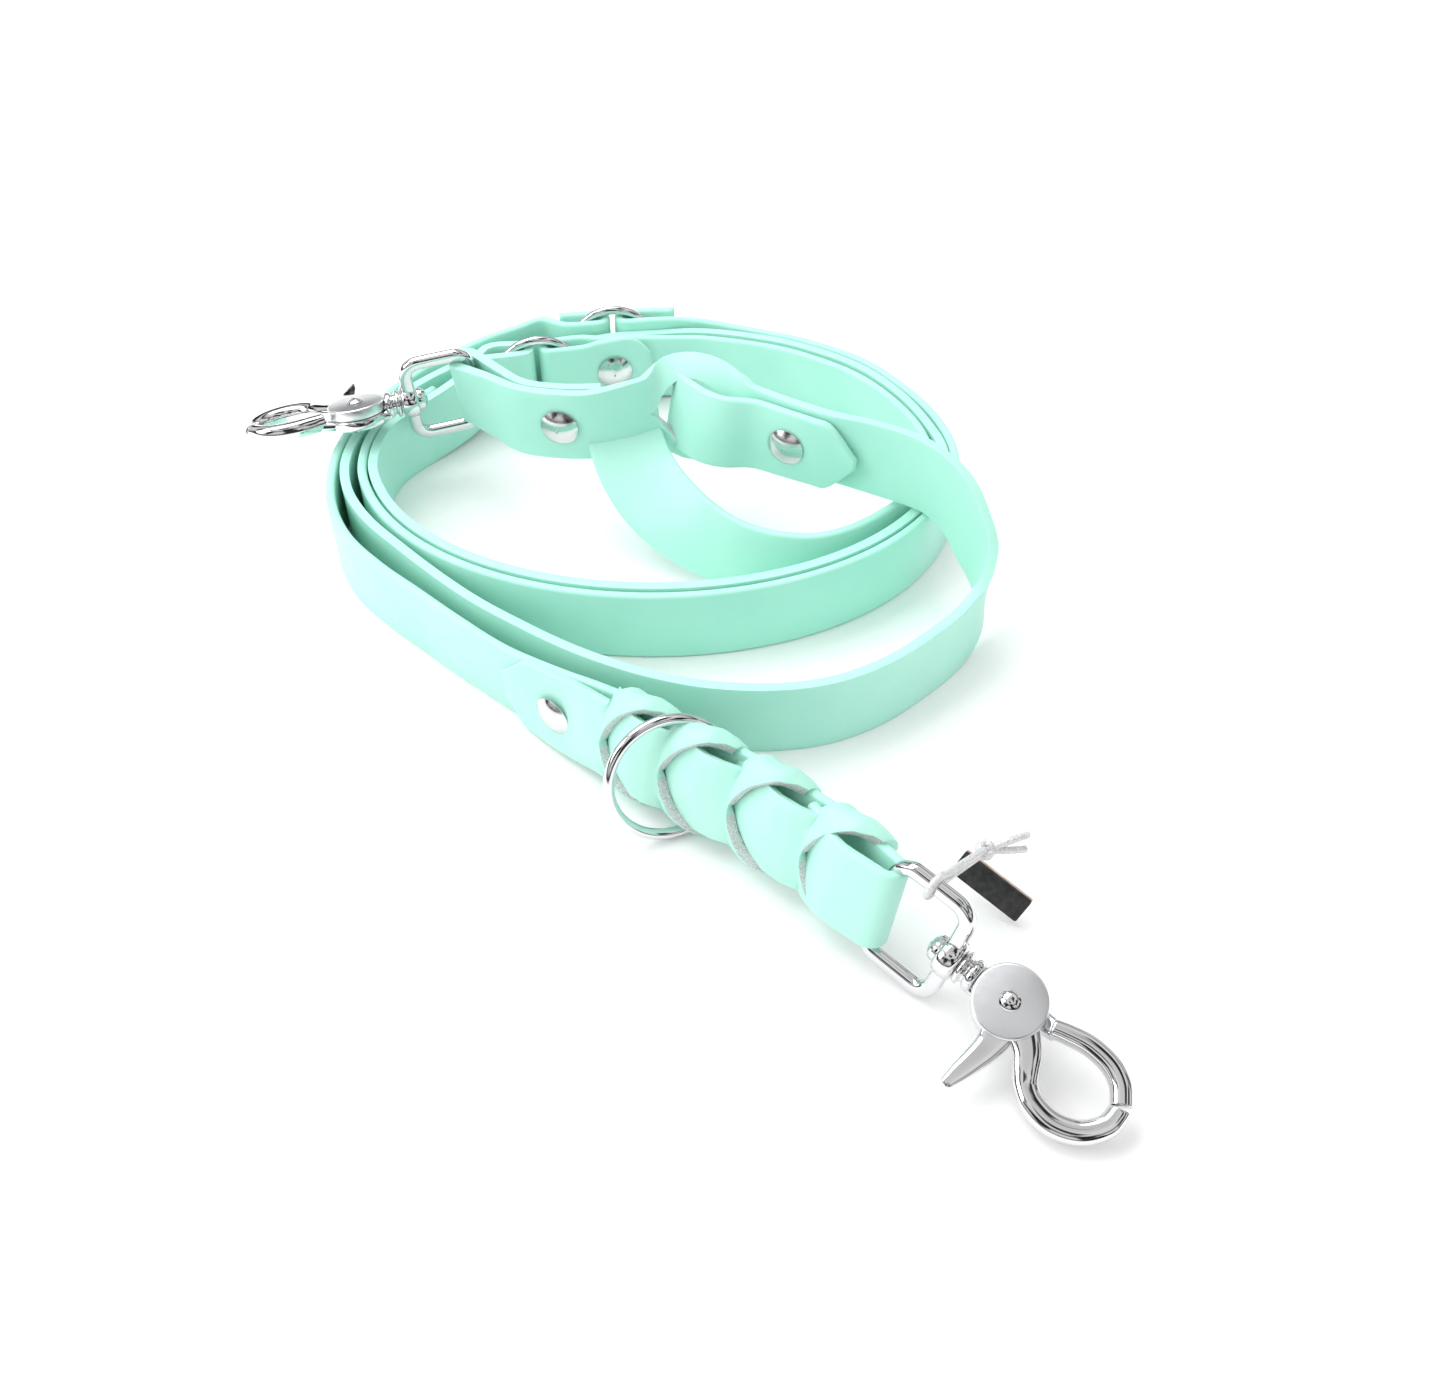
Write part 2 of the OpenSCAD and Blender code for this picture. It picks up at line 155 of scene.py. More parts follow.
def card_material():
    """Matte black card."""
    m, nodes, links, p = shader("black_card")
    c = ramp(nodes, links, noise(nodes, links, 700, 6).outputs["Fac"], (0.006,) * 3, (0.03,) * 3)
    links.new(c.outputs["Color"], p.inputs["Base Color"])
    p.inputs["Roughness"].default_value = 0.55
    bump(nodes, links, noise(nodes, links, 1800, 4).outputs["Fac"], p, 0.3, 0.0003)
    return m


def backing_material():
    """Pale uncoated board behind the black card."""
    m, nodes, links, p = shader("pale_backing")
    c = ramp(nodes, links, noise(nodes, links, 500, 5).outputs["Fac"], (0.55, 0.42, 0.36), (0.72, 0.58, 0.5))
    links.new(c.outputs["Color"], p.inputs["Base Color"])
    p.inputs["Roughness"].default_value = 0.7
    return m


def cord_material():
    """Silvery woven elastic."""
    m, nodes, links, p = shader("silver_cord")
    c = ramp(nodes, links, noise(nodes, links, 2200, 3, (1, 1, 4)).outputs["Fac"], (0.55,) * 3, (0.9,) * 3)
    links.new(c.outputs["Color"], p.inputs["Base Color"])
    p.inputs["Roughness"].default_value = 0.35
    p.inputs["Metallic"].default_value = 0.3
    bump(nodes, links, noise(nodes, links, 2600, 3).outputs["Fac"], p, 0.5, 0.0004)
    return m


MINT = mint_material()
EDGE = edge_material()
CHROME = metal_material("polished_chrome", (0.77, 0.77, 0.78), 0.04, 0.12, 500, 0.02)
SATIN = metal_material("satin_plate", (0.84, 0.85, 0.87), 0.28, 0.34, 420, 0.012, (1, 1, 6))
RIVET = metal_material("rivet_steel", (0.74, 0.73, 0.73), 0.12, 0.24, 700, 0.03)
CARD = card_material()
BACKING = backing_material()
CORD = cord_material()


# ---- Paths -------------------------------------------------------------------------------------
def beside(at, heading, along, across):
    """A point beside a place, at a distance along and across a heading."""
    c = math.cos(math.radians(heading))
    s = math.sin(math.radians(heading))
    return (at[0] + along * c - across * s, at[1] + along * s + across * c)


def spot(xy, z, lean=0.0, wide=1.0):
    """A point of a strap's path: its middle, its lean in degrees and its share of the full width."""
    return (xy[0], xy[1], z, lean, wide)


def half_turn(at, heading, r, z, side, lean=0.0):
    """Half turn of the strap round a wire, from one side of a heading to the other, leaning with the wire."""
    out = []
    for a in range(0, 181, 30):
        s = math.sin(math.radians(a))
        c = math.cos(math.radians(a))
        out.append(spot(beside(at, heading, -r * s, side * r * c), z, lean * c))
    return out


def tight_round(a, b):
    """The tight round in front: an oval stretch from the right to the left, with these half axes."""
    out = []
    for q in range(-4, -173, -12):
        x = COIL[0] + a * math.cos(math.radians(q))
        y = COIL[1] + b * math.sin(math.radians(q))
        out.append(spot((x, y), FLOOR_Z))
    return out


def slope(a, b, c):
    """Direction of a smooth curve at b, per mm, between its neighbours."""
    span = math.dist(a[:3], b[:3]) + math.dist(b[:3], c[:3])
    return [(q - p) / span for p, q in zip(a, c)]


def curve(points, spacing=1.6):
    """Smooth curve through points of any size, about evenly spaced in mm."""
    out = []
    last = len(points) - 1
    for i in range(last):
        a, b, c, d = (points[max(i - 1, 0)], points[i], points[i + 1], points[min(i + 2, last)])
        length = math.dist(b[:3], c[:3])
        leave = slope(a, b, c)
        arrive = slope(b, c, d)
        steps = max(2, round(length / spacing))
        for k in range(steps):
            t = k / steps
            h = (2 * t ** 3 - 3 * t * t + 1, length * (t ** 3 - 2 * t * t + t), 3 * t * t - 2 * t ** 3,
                 length * (t ** 3 - t * t))
            out.append(tuple(h[0] * p + h[1] * m + h[2] * q + h[3] * n
                             for p, m, q, n in zip(b, leave, c, arrive)))
    out.append(tuple(points[-1]))
    return out


def frames(path):
    """Middle, run, up and face directions at each point of a path."""
    out = []
    for i, p in enumerate(path):
        a = Vector(path[max(i - 1, 0)][:3])
        b = Vector(path[min(i + 1, len(path) - 1)][:3])
        run = (b - a).normalized()
        left = Vector((-run.y, run.x, 0)).normalized()
        lean = math.radians(p[3])
        rise = Vector((0, 0, 1)) * math.cos(lean) + left * math.sin(lean)
        up = (rise - run * rise.dot(run)).normalized()
        out.append((Vector(p[:3]), run, up, run.cross(up)))
    return out


def finish_mesh(name, vertices, faces, materials, body, slot, *nodes):
    """Makes the object, shades it smooth and puts it on its body."""
    mesh = bpy.data.meshes.new(name)
    mesh.from_pydata([tuple(c * MM for c in v) for v in vertices], [], faces)
    for m in materials:
        mesh.materials.append(m)
    mesh.polygons.foreach_set("use_smooth", [True] * len(faces))
    obj = bpy.data.objects.new(name, mesh)
    bpy.context.collection.objects.link(obj)
    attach(obj, body)
    if nodes:
        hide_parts(*nodes)
    return obj


# ---- Straps ------------------------------------------------------------------------------------
EDGE_R = 0.85                         # rounding of the strap's long edges


def section(wide):
    """Rounded outline of the strap's cross section, as (across the face, along the width)."""
    out = []
    for cx, cy, start in ((1, 1, 0), (-1, 1, 90), (-1, -1, 180), (1, -1, 270)):
        for a in (0, 30, 60, 90):
            q = math.radians(start + a)
            out.append((cx * (STRAP_T / 2 - EDGE_R) + EDGE_R * math.cos(q),
                        cy * (STRAP_W / 2 * wide - EDGE_R) + EDGE_R * math.sin(q)))
    return out


def ribbon(name, points, *nodes):
    """Strap on its edge along control points, with rounded edges and cut ends."""
    path = curve(points)
    verts = []
    faces = []
    count = len(section(1))
    for (mid, run, up, face), p in zip(frames(path), path):
        verts += [mid + face * x + up * y for x, y in section(p[4])]
    for i in range(len(path) - 1):
        for k in range(count):
            a = count * i + k
            b = count * i + (k + 1) % count
            faces.append((a, b, b + count, a + count))
    faces.append(tuple(reversed(range(count))))
    faces.append(tuple(range(count * (len(path) - 1), count * len(path))))
    finish_mesh(name, verts, faces, (MINT,), "leash", "strap", *nodes)


def sheet(name, stations, slit, *nodes):
    """Strap with a slit, from rows of points. A row is (lower half, upper half), each from its middle out.
    The halves are apart between the two rows of slit. The edges of a slit show the cut weave."""
    verts = []
    cut = []
    rows = []
    for i, (lower, upper) in enumerate(stations):
        apart = slit[0] < i < slit[1]
        low = [len(verts) + k for k in range(len(lower))]
        verts += lower
        cut += [1.0 if apart else 0.0] + [0.0] * (len(lower) - 1)
        if apart:
            high = [len(verts) + k for k in range(len(upper))]
            verts += upper
            cut += [1.0] + [0.0] * (len(upper) - 1)
        else:
            high = [low[0]] + [len(verts) + k for k in range(len(upper) - 1)]
            verts += upper[1:]
            cut += [0.0] * (len(upper) - 1)
        rows.append((low, high))
    faces = []
    for (low_a, high_a), (low_b, high_b) in zip(rows, rows[1:]):
        for k in range(len(low_a) - 1):
            faces.append((low_a[k], low_a[k + 1], low_b[k + 1], low_b[k]))
            faces.append((high_a[k], high_b[k], high_b[k + 1], high_a[k + 1]))
    obj = finish_mesh(name, verts, faces, (MINT, EDGE), "leash", "strap", *nodes)
    attr = obj.data.attributes.new("cut", "FLOAT", "POINT")
    attr.data.foreach_set("value", cut)
    thick = obj.modifiers.new("thickness", "SOLIDIFY")
    thick.thickness = STRAP_T * MM
    thick.offset = 0
    thick.use_even_offset = True
    thick.material_offset_rim = 1
    round_edges = obj.modifiers.new("edges", "BEVEL")
    round_edges.width = 0.7 * MM
    round_edges.material = 0
    round_edges.segments = 3
    round_edges.limit_method = "ANGLE"
    round_edges.angle_limit = math.radians(50)
    round_edges.use_clamp_overlap = True


def table(rows, x):
    """Row of a short table between its rows, by its first column."""
    if x <= rows[0][0]:
        return rows[0][1:]
    for a, b in zip(rows, rows[1:]):
        if x <= b[0]:
            t = (x - a[0]) / (b[0] - a[0])
            return tuple(p + (q - p) * t for p, q in zip(a[1:], b[1:]))
    return rows[-1][1:]


HALF_STEPS = 8                        # flat stretches across one half of a slit strap


def curl(start, angle, bend, length):
    """Cross section of one half: points (width, face) going outward and curling back."""
    w, n = start
    out = [(w, n)]
    step = length / HALF_STEPS
    for k in range(HALF_STEPS):
        q = math.radians(angle + bend * step * (k + 0.5))
        w += step * math.cos(q)
        n -= step * math.sin(q)
        out.append((w, n))
    return out


# Braid: the line from the rivet to the snap's bar, and where each slit starts along it
BRAID_LEAN = 14.0
BRAID_RIVET = (-17.0, -80.0)          # distances along the braid are counted from here
BRAID = [(-30.0, -69.0, 10.0, 0.0), (*BRAID_RIVET, 10.8, 10.0), (-4.5, -91.0, 12.6, BRAID_LEAN),
         (9.0, -102.0, 14.2, BRAID_LEAN), (24.0, -112.8, 14.8, BRAID_LEAN), (39.0, -126.0, 15.4, BRAID_LEAN),
         (*FRONT_BAR, BRAID_LEAN)]
CUSPS = [16.0, 33.0, 51.4, 71.5]


class Line:
    """A path with a frame at any distance along it."""

    def __init__(self, points, zero):
        self.path = curve(points, 1.0)
        self.at = [0.0]
        for a, b in zip(self.path, self.path[1:]):
            self.at.append(self.at[-1] + math.dist(a[:3], b[:3]))
        nearest = min(range(len(self.path)), key=lambda i: math.dist(self.path[i][:2], zero[:2]))
        offset = self.at[nearest]
        self.at = [d - offset for d in self.at]
        self.frames = frames(self.path)

    def place(self, t, w, n):
        """The point t along the path, w up the strap's width and n out from its face."""
        past = next((k for k, d in enumerate(self.at) if d > t), len(self.at))
        i = max(0, min(len(self.at) - 2, past - 1))
        f = (t - self.at[i]) / (self.at[i + 1] - self.at[i])
        mid_a, _, up_a, face_a = self.frames[i]
        mid_b, _, up_b, face_b = self.frames[i + 1]
        up = up_a.lerp(up_b, f).normalized()
        face = face_a.lerp(face_b, f).normalized()
        return mid_a.lerp(mid_b, f) + up * w + face * n


# Lip beside the emerging strap: distance past the cusp, cut edge's width and face place, angle, bend
LIP = [(0.0, 0.0, 2.5, 3.0, 2.4), (1.4, 3.4, 2.8, 6.0, 4.5), (3.0, 6.2, 2.9, 10.0, 8.0),
       (5.0, 8.6, 2.6, 20.0, 12.5), (7.5, 10.4, 1.8, 36.0, 14.0), (9.6, 11.3, 0.6, 54.0, 12.5),
       (12.6, 10.8, -1.8, 82.0, 10.0), (15.0, 9.4, -3.6, 100.0, 9.0)]
LIP_LENGTH = 15.0
LIP_STEP = 0.9
LIP_TAPER = 0.16                      # loss of width per mm past the cusp
SCALE_STEPS = 16
SCALE_TAIL = 3.0                      # hidden part of a scale, before the slit it comes out of
# Scale between its start and its own slit: share of the way, face place, bend
SCALE = [(0.0, -0.6, 5.5), (0.12, 0.9, 4.8), (0.3, 2.6, 3.6), (0.55, 3.7, 2.6), (0.8, 3.4, 2.2),
         (1.0, 2.5, 2.4)]


def station(line, t, half):
    """A row of the braid: the lower and the upper half at a distance along it."""
    return ([line.place(t, -w, n) for w, n in half], [line.place(t, w, n) for w, n in half])


def braid_piece(name, line, stations, cusp):
    """A length of the braid, with the two lips of the slit that starts at the cusp."""
    slit = len(stations) - 1
    past = 0.7
    while past <= LIP_LENGTH:
        width, face, angle, bend = table(LIP, past)
        half = curl((width, face), angle, bend, STRAP_W / 2 - LIP_TAPER * past)
        stations.append(station(line, cusp + past, half))
        past += LIP_STEP
    sheet(name, stations, (slit, len(stations)))


def share(t, start, length):
    """How far a distance is through a stretch, from 0 to 1."""
    return max(0.0, min(1.0, (t - start) / length))


def braid_return(line):
    """The tapered return end, with the rivet, up to the first slit."""
    stations = []
    first = -16.5
    steps = 22
    for k in range(steps + 1):
        t = first + (CUSPS[0] - first) * k / steps
        face = LAYER + 1.2 * share(t, 3, 9)
        bend = 2.4 * share(t, 2, 10)
        reach = STRAP_W / 2 * min(1.0, 0.42 + 0.58 * (t - first) / 6.5)
        stations.append(station(line, t, curl((0.0, face), 0.0, bend, reach)))
    braid_piece("braid_return", line, stations, CUSPS[0])


def braid_scale(line, index, start, cusp):
    """One scale of the braid, from the slit it comes out of to its own."""
    stations = []
    for k in range(SCALE_STEPS + 1):
        t = start - SCALE_TAIL + (cusp - start + SCALE_TAIL) * k / SCALE_STEPS
        face, bend = table(SCALE, max(0.0, (t - start) / (cusp - start)))
        if t < start:
            face -= (start - t) * 0.5
        stations.append(station(line, t, curl((0.0, face), 0.0, bend, STRAP_W / 2)))
    braid_piece("braid_scale_%d" % index, line, stations, cusp)


def front_strap(line):
    """The last scale, its fold round the snap's bar, the layer behind the braid and the outer round."""
    fold_at = 90.3
    fold_r = 2.9
    points = []
    for t, n in ((68.5, -1.6), (71.5, -0.4), (74.0, 1.4), (77.5, 2.9), (81.5, 3.6), (85.5, 3.3)):
        points.append((*line.place(t, 0, n), BRAID_LEAN, 1.0))
    for a in range(0, 181, 30):
        s = math.sin(math.radians(a))
        c = math.cos(math.radians(a))
        points.append((*line.place(fold_at + fold_r * s, 0, fold_r * c), BRAID_LEAN * c, 1.0))
    for t, n in ((85.0, -3.6), (78.0, -4.8), (66.0, -5.0), (50.0, -5.0), (34.0, -5.0), (20.0, -4.4),
                 (9.0, -2.6)):
        points.append((*line.place(t, 0, n), -BRAID_LEAN, 1.0))
    points.append((*line.place(0.0, 0, -LAYER), -8.0, 1.0))
    outer = [(-30, -69.2), (-43, -58.5), (-53.5, -49), (-64, -39.5), (-74, -28), (-80.5, -14), (-82.9, 3),
             (-80.9, 18), (-75, 32)]
    points += [spot(p, FLOOR_Z) for p in outer]
    points += [spot((-66, 45.4), 10.3), spot((-56, 54.6), 11), spot((-48, 60.2), 12), spot((-40, 64.4), 12.6),
               spot((-33, 68.2), 13)]
    points += ring_fold(OUTER_RING, -1, -1, 15.5, WRAP)[::-1]
    ribbon("front_strap_coated", points, "front_strap")


def build_braid():
    """The braided end: its return, three scales, and the front strap that runs on from the last one."""
    line = Line(BRAID, BRAID_RIVET)
    braid_return(line)
    for i in range(3):
        braid_scale(line, i + 1, CUSPS[i], CUSPS[i + 1])
    front_strap(line)


def ring_fold(ring, along, face, tail, tail_face):
    """Strap's end round a ring: its tail, the turn round the wire, and the start of the main run.
    along is the side of the ring it leaves to, face the side the tail lies on."""
    x, y, z, yaw = ring
    at = (x, y)
    heading = yaw if along > 0 else yaw + 180
    s = along * face
    return [spot(beside(at, heading, tail, -s * tail_face), z), spot(beside(at, heading, 13.8, -s * WRAP), z),
            *half_turn(beside(at, heading, 4.5, 0), heading, WRAP, z, -s),
            spot(beside(at, heading, 13.8, s * WRAP), z)]


def build_coil():
    """From the outer ring round the back and the right, then the tight round in front, to the left."""
    loop = ring_fold(OUTER_RING, 1, -1, 18.5, WRAP - 0.5)
    back = [spot((8.5, 69.6), 12), spot((16, 69.9), 11), spot((31, 66.5), 10), spot((44, 61.4), 10),
            spot((59.9, 51.2), 10), spot((70.6, 38), 10), spot((78.7, 22.3), 10)]
    left = [spot((-74.5, 17), 10), spot((-68.4, 28), 10), spot((-60.5, 36.6), 10.5)]
    ribbon("coil_strap_coated", loop + back + tight_round(79, 60.8) + left, "coil_strap")


def build_loop():
    """From the inner ring round the right, up through the handle strap's slit, and the pointed end."""
    x, y, z, yaw = INNER_RING
    fold = ring_fold(INNER_RING, 1, 1, 18.4, LAYER)
    points = [spot(beside((x, y), yaw, 33, -LAYER), z, 0, 0.5), spot(beside((x, y), yaw, 28, -LAYER), z),
              *fold, spot(beside((x, y), yaw, 18.4, LAYER), 12.8)]
    points += [spot((-8, 59.8), 12), spot((4, 62.1), 10.5), spot((14, 62.9), 10), spot((31, 59.2), 10),
               spot((43, 54.2), 10), spot((58, 43.6), 10), spot((68.6, 29.2), 10), spot((74.4, 14), 10),
               spot((74, -1), 10), spot((66.5, -13), 10), spot((53, -24.5), 10), spot((41, -28.4), 10),
               spot((26, -26), 10.6, -6), spot((14, -19.5), 12.4, -22), spot((4.5, -11), 15.4, -46),
               spot((-2, -2), 19.4, -68), spot((-5.5, 6), 24, -80), spot((-7, 12), 28.5, -86),
               spot((-7.5, 15), 31, -88)]
    ribbon("loop_strap_coated", points, "loop_strap")
    tab = [spot((7, 12.5), 30.3, 12), spot((10, 8.5), 30.3, 12), spot((14.5, 3.5), 30.4, 12),
           spot((20, 0.6), 30.4, 8), spot((28, 0.0), 30.2, 4), spot((36, -3.8), 30, 2),
           spot((43, -7.5), 30, 0), spot((46.6, -9.4), 30, 0, 0.97), spot((49.6, -11), 30, 0, 0.66),
           spot((52.4, -12.5), 30, 0, 0.28), spot((53.6, -13.1), 30, 0, 0.14)]
    ribbon("loop_strap_end", tab)


def build_handle():
    """From its end behind the back snap, round the snap's bar, across the coil with a slit, down to the
    floor, once loosely round and once tightly, to the inner ring."""
    bar = (BACK_BAR[0], BACK_BAR[1])
    behind = 2 * LAYER
    tail = [spot((-11.5, 5.5 + behind), 29.5, 0, 0.4), spot((-15.5, 5.2 + behind), 29.5, 0, 0.95),
            spot((-22, 5.8 + behind), 29.2), spot((-31.8, 11.2), 28.8), spot((-39.4, 19.4), 28.6, 5)]
    fold = half_turn(bar, -27, 3.6, 28.6, 1, 10)
    grip = [spot((-42, 15.6), 28.6, -5), spot((-33, 8.6), 28.8), spot((-22, 5.6), 29.2),
            spot((-14, 5.2), 29.5), spot((-3, 8), 30, 8), spot((8, 11.6), 30.6, 16), spot((20, 8), 31, 14),
            spot((34, 0.6), 31, 4), spot((47, -6.2), 31), spot((57, -11), 31.2, 4), spot((66, -16), 31.3, 4),
            spot((72, -20.6), 31), spot((77, -26), 29), spot((80.8, -32.2), 24.5), spot((83.5, -39.5), 18.5),
            spot((82.6, -47), 13), spot((77.5, -55), 10.3)]
    loose = [(69, -64), (58, -73.2), (46, -79.4), (33, -82), (17, -81.3), (3, -77.6), (-9, -72.4),
             (-18, -67.4), (-27, -61.4), (-38, -53.4), (-48, -44.6), (-60, -32.6), (-70, -21.6), (-77, -9.6),
             (-79.7, 3), (-77.9, 17.5), (-72, 30), (-63.4, 41.4), (-54.5, 50), (-47.8, 55.6), (-40.6, 58.8),
             (-34, 60), (-25.5, 60.6), (-20, 61.4), (-12, 63.8), (0, 65.3), (14, 66.2), (31, 62.8),
             (43.6, 57.8), (59, 47.4), (69.6, 33.6), (76.6, 17.6)]
    left = [spot((-71.3, 17), 10), spot((-65.2, 27), 10), spot((-57.5, 35.2), 11), spot((-52, 42), 12)]
    loop = ring_fold(INNER_RING, -1, 1, 15.5, WRAP)[::-1]
    points = (tail + fold + grip + [spot(p, FLOOR_Z) for p in loose]
              + tight_round(76.1, 57.6) + left + loop)
    slit_x = (2.0, 26.0)              # the slit's left and right ends
    rows = []
    inside = []
    for i, (mid, run, up, face) in enumerate(frames(curve(points, 1.8))):
        on_grip = mid.z > 24 and mid.y < 20 and mid.x > -20
        a = (mid.x - slit_x[0]) / (slit_x[1] - slit_x[0])
        opened = on_grip and 0 < a < 1
        if opened:
            inside.append(i)
        gape = math.sin(math.pi * a ** 0.8) if opened else 0.0
        half_up = curl((8.0 * gape, 1.2 * gape), 25 * gape, 5.0 * gape, STRAP_W / 2 - 3.0 * gape)
        half_low = curl((9.0 * gape, 2.0 * gape), 15 * gape, 3.0 * gape, STRAP_W / 2 - 5.5 * gape)
        rows.append(([mid - up * w + face * n for w, n in half_low],
                     [mid + up * w + face * n for w, n in half_up]))
    sheet("handle_strap_coated", rows, (inside[0] - 1, inside[-1] + 1), "handle_strap")


# ---- Hardware ----------------------------------------------------------------------------------
NECK = 19.9                           # where the snap's collar starts, from its strap bar
PIVOT = 31.6                          # middle of the round plates, from the strap bar
SPLIT = -0.3                          # between the body's plate and the trigger's plate
PLATE_R = 7.5
PLATE_T = 3.0
HOOK_Z = -0.25                        # middle of the hook and the jaw, which close in one plane


def placed(bar, turn):
    """Matrix from the snap's own frame, in mm, to the leash's."""
    return (Matrix.Translation(bar) @ Matrix.Rotation(math.radians(turn[0]), 4, "Z")
            @ Matrix.Rotation(math.radians(turn[1]), 4, "Y") @ Matrix.Rotation(math.radians(turn[2]), 4, "X"))


def add_grid(verts, faces, rows):
    """Adds closed rings of points, joined one to the next, with a face at each end."""
    base = len(verts)
    n = len(rows[0])
    for row in rows:
        verts += row
    for i in range(len(rows) - 1):
        for k in range(n):
            a = base + n * i + k
            b = base + n * i + (k + 1) % n
            faces.append((a, b, b + n, a + n))
    faces.append(tuple(base + k for k in reversed(range(n))))
    faces.append(tuple(base + n * (len(rows) - 1) + k for k in range(n)))


TURNED_SIDES = 64


def lathe(verts, faces, profile, along_x=None, at=None):
    """Turned piece from (height, radius) pairs: about X from along_x, or about Z at a place."""
    rows = []
    ring = [2 * math.pi * k / TURNED_SIDES for k in range(TURNED_SIDES)]
    for h, r in profile:
        if along_x is not None:
            rows.append([Vector((along_x + h, r * math.cos(q), r * math.sin(q))) for q in ring])
        else:
            rows.append([Vector((at[0] + r * math.cos(q), at[1] + r * math.sin(q), at[2] + h))
                         for q in ring])
    add_grid(verts, faces, rows)


def tube(verts, faces, points, n=24, square=2.0, cap=0.6):
    """Bar along (x, y, z, half width, half height) points, with domed ends."""
    path = curve(points, 0.45)
    rows = []
    for i, p in enumerate(path):
        a = Vector(path[max(i - 1, 0)][:3])
        b = Vector(path[min(i + 1, len(path) - 1)][:3])
        run = (b - a).normalized()
        side = Vector((-run.y, run.x, 0)).normalized()
        up = run.cross(side)
        row = []
        for k in range(n):
            q = 2 * math.pi * k / n
            c = math.cos(q)
            s = math.sin(q)
            x = math.copysign(abs(c) ** (2 / square), c) * p[3]
            y = math.copysign(abs(s) ** (2 / square), s) * p[4]
            row.append(Vector(p[:3]) + side * x + up * y)
        rows.append((row, Vector(p[:3]), run))
    dome = [(0.93, 0.35 * cap), (0.7, 0.7 * cap), (0.38, 0.92 * cap)]
    row, mid, run = rows[0]
    start = [[mid.lerp(v, size) - run * out for v in row] for size, out in reversed(dome)]
    row, mid, run = rows[-1]
    end = [[mid.lerp(v, size) + run * out for v in row] for size, out in dome]
    add_grid(verts, faces, start + [r[0] for r in rows] + end)


def rounded_plate(radius, thick, edge=0.7):
    """Profile of a disc with rounded rims, as (height, radius)."""
    steps = [math.radians(q) for q in (0, 22, 45, 67, 90)]
    low = [(edge - edge * math.cos(q), radius - edge + edge * math.sin(q)) for q in steps]
    high = [(thick - edge + edge * math.sin(q), radius - edge + edge * math.cos(q)) for q in steps]
    return [(0.0, 0.05), *low, *high, (thick, 0.05)]


def hardware(name, verts, faces, matrix, materials, body, slot, node):
    """A piece of a snap, from its own frame in mm, in place of its CAD node."""
    return finish_mesh(name, [matrix @ v for v in verts], faces, materials, body, slot, node)


def snap_hook(end, matrix):
    """Swivel collar, lower plate and fixed hook."""
    verts = []
    faces = []
    lathe(verts, faces, [(0, 0.05), (0, 2.7), (0.12, 3.2), (0.5, 3.6), (0.9, 3.62), (1.25, 3.3), (1.5, 2.75),
                         (1.75, 2.62), (2.05, 2.7), (2.3, 3.1), (2.6, 3.38), (3.2, 3.42), (3.8, 3.3),
                         (4.15, 2.9), (4.2, 0.05)], along_x=NECK)
    tube(verts, faces, [(NECK + 3.2, 0, SPLIT - 1.55, 3.2, 1.45), (PIVOT - 5, 0, SPLIT - 1.55, 3.4, 1.45)],
         square=3.5)
    lathe(verts, faces, rounded_plate(PLATE_R, PLATE_T - 0.02), at=(PIVOT, 0, SPLIT - PLATE_T))
    tube(verts, faces, [(34, 1.5, SPLIT - 1.6, 2.6, 1.35), (38.2, 1.6, SPLIT - 1.5, 2.2, 1.3),
                        (41.6, 1.6, SPLIT - 1.0, 2.0, 1.5)], square=3)
    tube(verts, faces, [(40.6, 1.5, HOOK_Z, 1.9, 2.25), (43.5, 2.4, HOOK_Z, 2.0, 2.35),
                        (48, 3.3, HOOK_Z, 2.1, 2.35), (53, 2.8, HOOK_Z, 2.15, 2.3),
                        (56.4, 1, HOOK_Z, 2.2, 2.25), (58.5, -1.6, HOOK_Z, 2.2, 2.2),
                        (58.75, -2.0, HOOK_Z, 2.2, 2.2)], square=2.4, cap=0.25)
    hardware(end + "_hook", verts, faces, matrix, (CHROME,), end + "_snap", "snap_chrome",
             end + "_snap_body")


def strap_bail(end, matrix):
    """Flattened wire loop that the strap folds round, with the swivel's boss."""
    verts = []
    faces = []
    half = 12.5
    corner = 4.0
    far = 17.2
    steps = [math.radians(q) for q in range(0, 91, 15)]
    outline = [(far, 3.4)]
    outline += [(far - corner + corner * math.cos(q), half - corner + corner * math.sin(q)) for q in steps]
    outline += [(corner - corner * math.sin(q), half - corner + corner * math.cos(q)) for q in steps]
    outline += [(x, -y) for x, y in reversed(outline)]
    tube(verts, faces, [(x, y, 0, 1.75 if x > 2 else 1.45, 1.45) for x, y in outline], square=2.6, cap=0.5)
    lathe(verts, faces, [(0, 2.3), (0, 3.4), (0.35, 3.95), (0.9, 4.25), (2.3, 4.45), (3.7, 4.25), (4.3, 3.85),
                         (4.6, 3.3), (4.6, 2.1)], along_x=15.2)
    hardware(end + "_strap_loop", verts, faces, matrix, (CHROME,), end + "_loop", "snap_chrome",
             end + "_bail")


